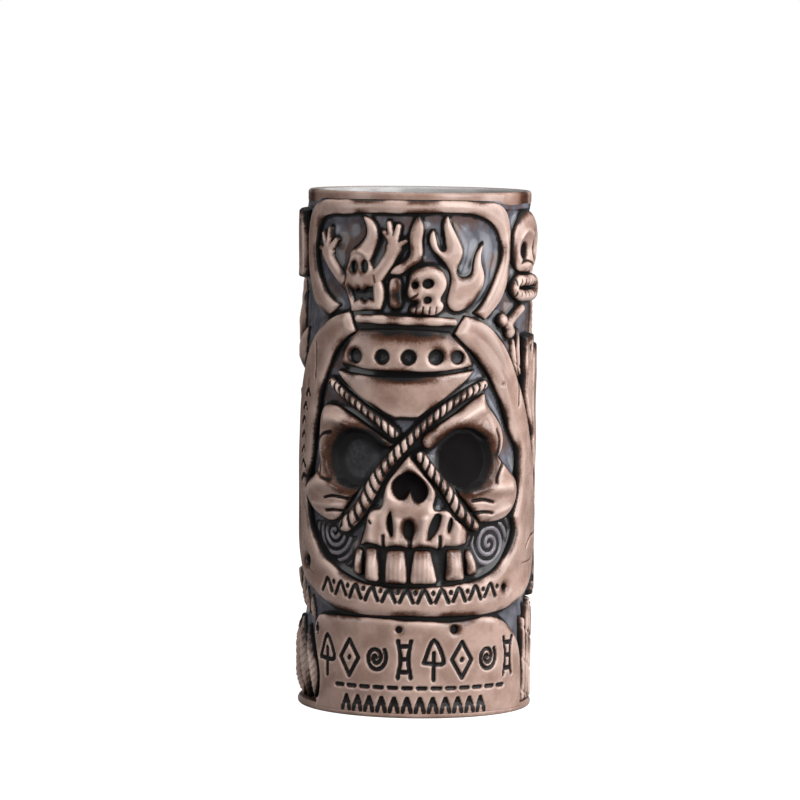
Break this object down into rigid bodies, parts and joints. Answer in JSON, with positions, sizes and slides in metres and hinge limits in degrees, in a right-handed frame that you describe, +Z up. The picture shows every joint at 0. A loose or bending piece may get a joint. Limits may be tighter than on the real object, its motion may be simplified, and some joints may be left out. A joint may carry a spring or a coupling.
{
  "type": "tiki mug",
  "caption": "Tall straight-sided ceramic drinking mug with carved-style relief of a roped skull, flames, boards and leaves.",
  "frame": {"origin": "centre of the flat underside", "axes": "+Z up along the cup's axis; the front, with the large skull, faces -Y; +X is to the right of someone who looks at the front"},
  "size_m": [0.083, 0.083, 0.178],
  "materials": {
    "grey_glaze": "glossy slate-grey glaze, pooled darker against the relief, pale grey inside the cup",
    "clay_glaze": "pinkish tan clay under clear gloss, brown and black stain left in the recesses",
    "bone_glaze": "paler tan clay under clear gloss, dark stain between the teeth",
    "rope_glaze": "tan clay strands with dark stain between them, clear gloss",
    "smoke_glaze": "slate-grey glaze with tan rubbed on the raised lines",
    "lip_glaze": "smooth tan clay under clear gloss, brown at its lower edge",
    "foot_glaze": "tan clay under clear gloss, stained at the top edge",
    "bare_clay": "unglazed wiped biscuit clay underside; grey glaze on the inside of the floor"
  },
  "bodies": {
    "root": {"back_bone_over": "clay_glaze", "back_bone_under": "clay_glaze", "back_flames": "clay_glaze", "back_jaw": "clay_glaze", "back_leaves": "clay_glaze", "back_skull": "clay_glaze", "board_1": "clay_glaze", "board_10": "clay_glaze", "board_2": "clay_glaze", "board_3": "clay_glaze", "board_4": "clay_glaze", "board_5": "clay_glaze", "board_6": "clay_glaze", "board_7": "clay_glaze", "board_8": "clay_glaze", "board_9": "clay_glaze", "cap_plate": "clay_glaze", "crown_bar": "clay_glaze", "crown_frame": "clay_glaze", "cup_floor": "bare_clay", "cup_wall": "grey_glaze", "flame_centre": "clay_glaze", "flame_ghoul": "clay_glaze", "flame_right": "clay_glaze", "flame_stub": "clay_glaze", "foot_band": "foot_glaze", "forehead_plate": "clay_glaze", "hood_band": "clay_glaze", "leaf_blades": "clay_glaze", "leaf_buds": "clay_glaze", "lip_band": "lip_glaze", "low_leaves": "clay_glaze", "nose_and_jaw": "clay_glaze", "palm_fronds": "clay_glaze", "palm_trunk": "clay_glaze", "plaque": "clay_glaze", "reeds_low": "clay_glaze", "rope_band": "rope_glaze", "rope_over": "rope_glaze", "rope_under": "rope_glaze", "side_board": "clay_glaze", "side_bone": "clay_glaze", "side_jaw": "clay_glaze", "side_reeds": "clay_glaze", "side_skull": "clay_glaze", "skull_left": "clay_glaze", "skull_right": "clay_glaze", "small_skull": "clay_glaze", "swirl_left": "smoke_glaze", "swirl_right": "smoke_glaze", "tooth_1": "bone_glaze", "tooth_2": "bone_glaze", "tooth_3": "bone_glaze", "tooth_4": "bone_glaze", "tooth_5": "bone_glaze", "tooth_6": "bone_glaze"}
  },
  "joints": []
}
